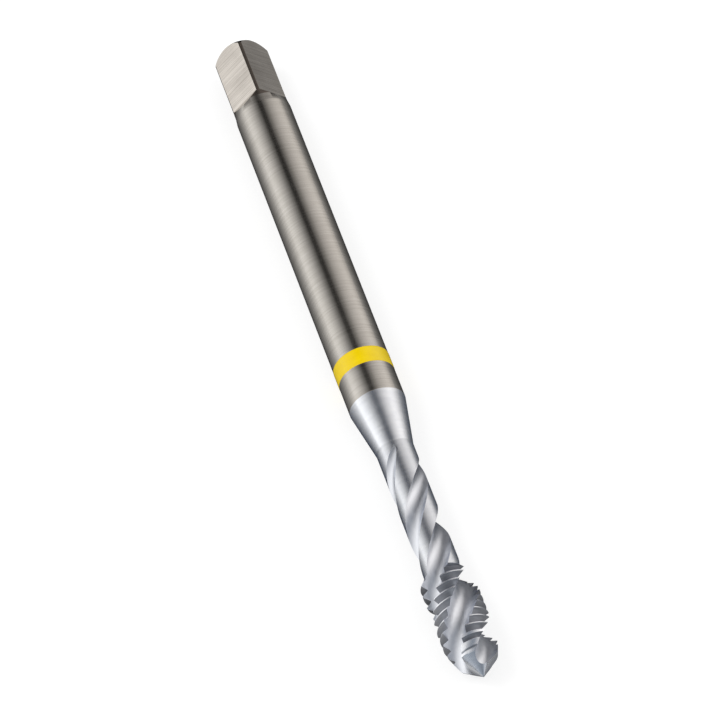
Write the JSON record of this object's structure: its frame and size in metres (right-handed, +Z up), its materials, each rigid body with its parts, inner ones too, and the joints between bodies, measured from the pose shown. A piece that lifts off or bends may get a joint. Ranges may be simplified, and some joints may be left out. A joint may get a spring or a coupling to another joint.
{
  "type": "thread tap",
  "caption": "Spiral-flute machine tap with a ground shank, a drive square, a slim neck, a threaded fluted front and a centring point.",
  "frame": {"origin": "centre of the bounding box's bottom, on the surface that the tap lies on", "axes": "+X along the tap's axis toward the point, +Z up, +Y square to both"},
  "size_m": [0.063, 0.0046, 0.0045],
  "materials": {
    "ground_steel": "ground",
    "ring_lacquer": "gloss"
  },
  "bodies": {
    "root": {"tap": "ground_steel", "colour_ring": "ring_lacquer"}
  },
  "joints": []
}
